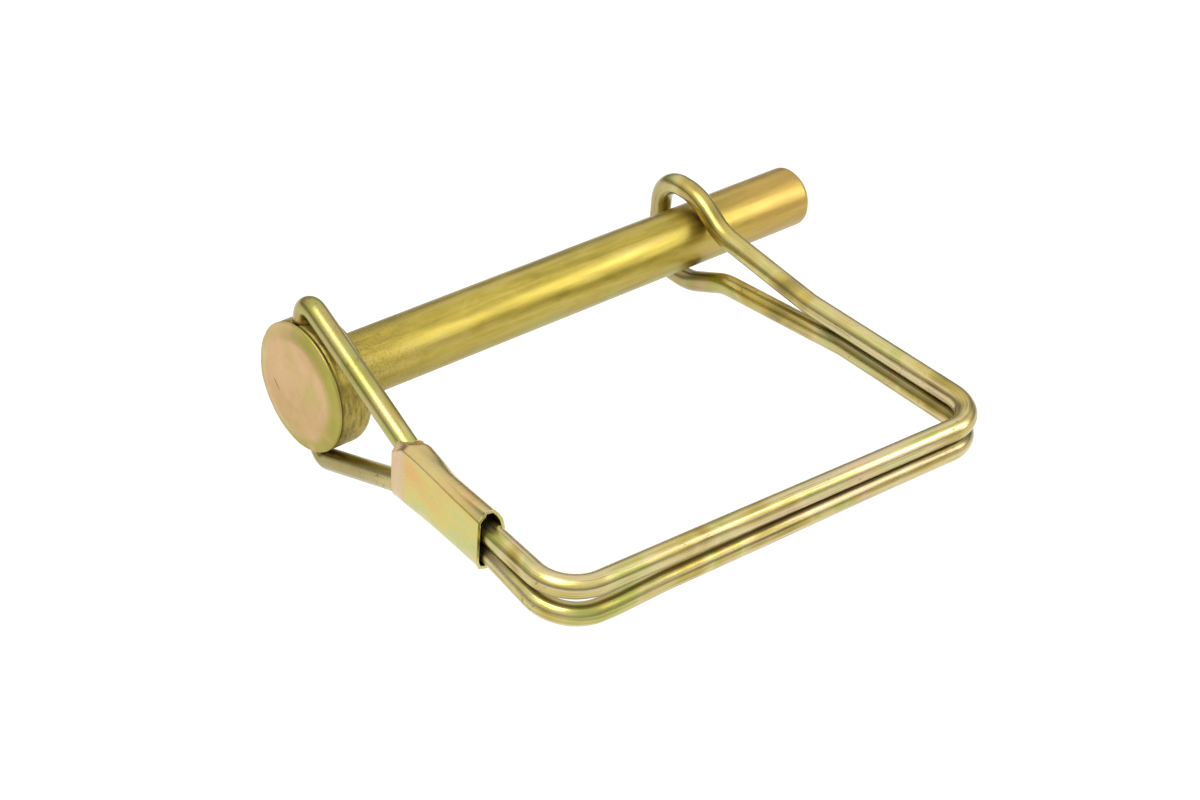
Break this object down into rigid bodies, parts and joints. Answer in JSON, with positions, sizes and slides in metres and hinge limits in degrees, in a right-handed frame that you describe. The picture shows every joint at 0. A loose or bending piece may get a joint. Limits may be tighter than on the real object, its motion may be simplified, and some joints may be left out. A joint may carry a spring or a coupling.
{
  "type": "hitch pin lock",
  "caption": "Headed steel pin with a spring wire bail that pivots in the head; the bail's looped end snaps over the shank near its tip and locks the pin in a hitch hole.",
  "frame": {"origin": "centre of the head's bearing face, on the pin's axis", "axes": "+X along the shank towards its tip, -Y towards the long side of the bail, +Z square to the plane of the closed bail"},
  "size_m": [0.0974, 0.0732, 0.0264],
  "materials": {
    "plated_pin": "yellow zinc passivate, olive gold with pink and green tints",
    "plated_wire": "glossy yellow zinc passivate on drawn spring wire",
    "plated_ferrule": "smooth yellow zinc passivate on thin sheet steel"
  },
  "bodies": {
    "pin": {"pin": "plated_pin"},
    "bail": {"upper_bail_wire": "plated_wire", "lower_bail_wire": "plated_wire", "ferrule": "plated_ferrule"},
    "tip_loop": {"tip_loop_wire": "plated_wire"}
  },
  "joints": [
    {"name": "bail_swing", "type": "hinge", "parent": "pin", "child": "bail", "pos_m": [-0.00419, 0, 0], "axis": [-0.0109, -0.2076, -0.9781], "range_deg": [-3, 240], "deforming": ["tip_loop_wire"]},
    {"name": "loop_spring", "type": "hinge", "parent": "bail", "child": "tip_loop", "pos_m": [0.06634, -0.05348, 0], "axis": [0, 0, -1], "range_deg": [0, 26], "stiffness_Nm_per_rad": 3}
  ]
}
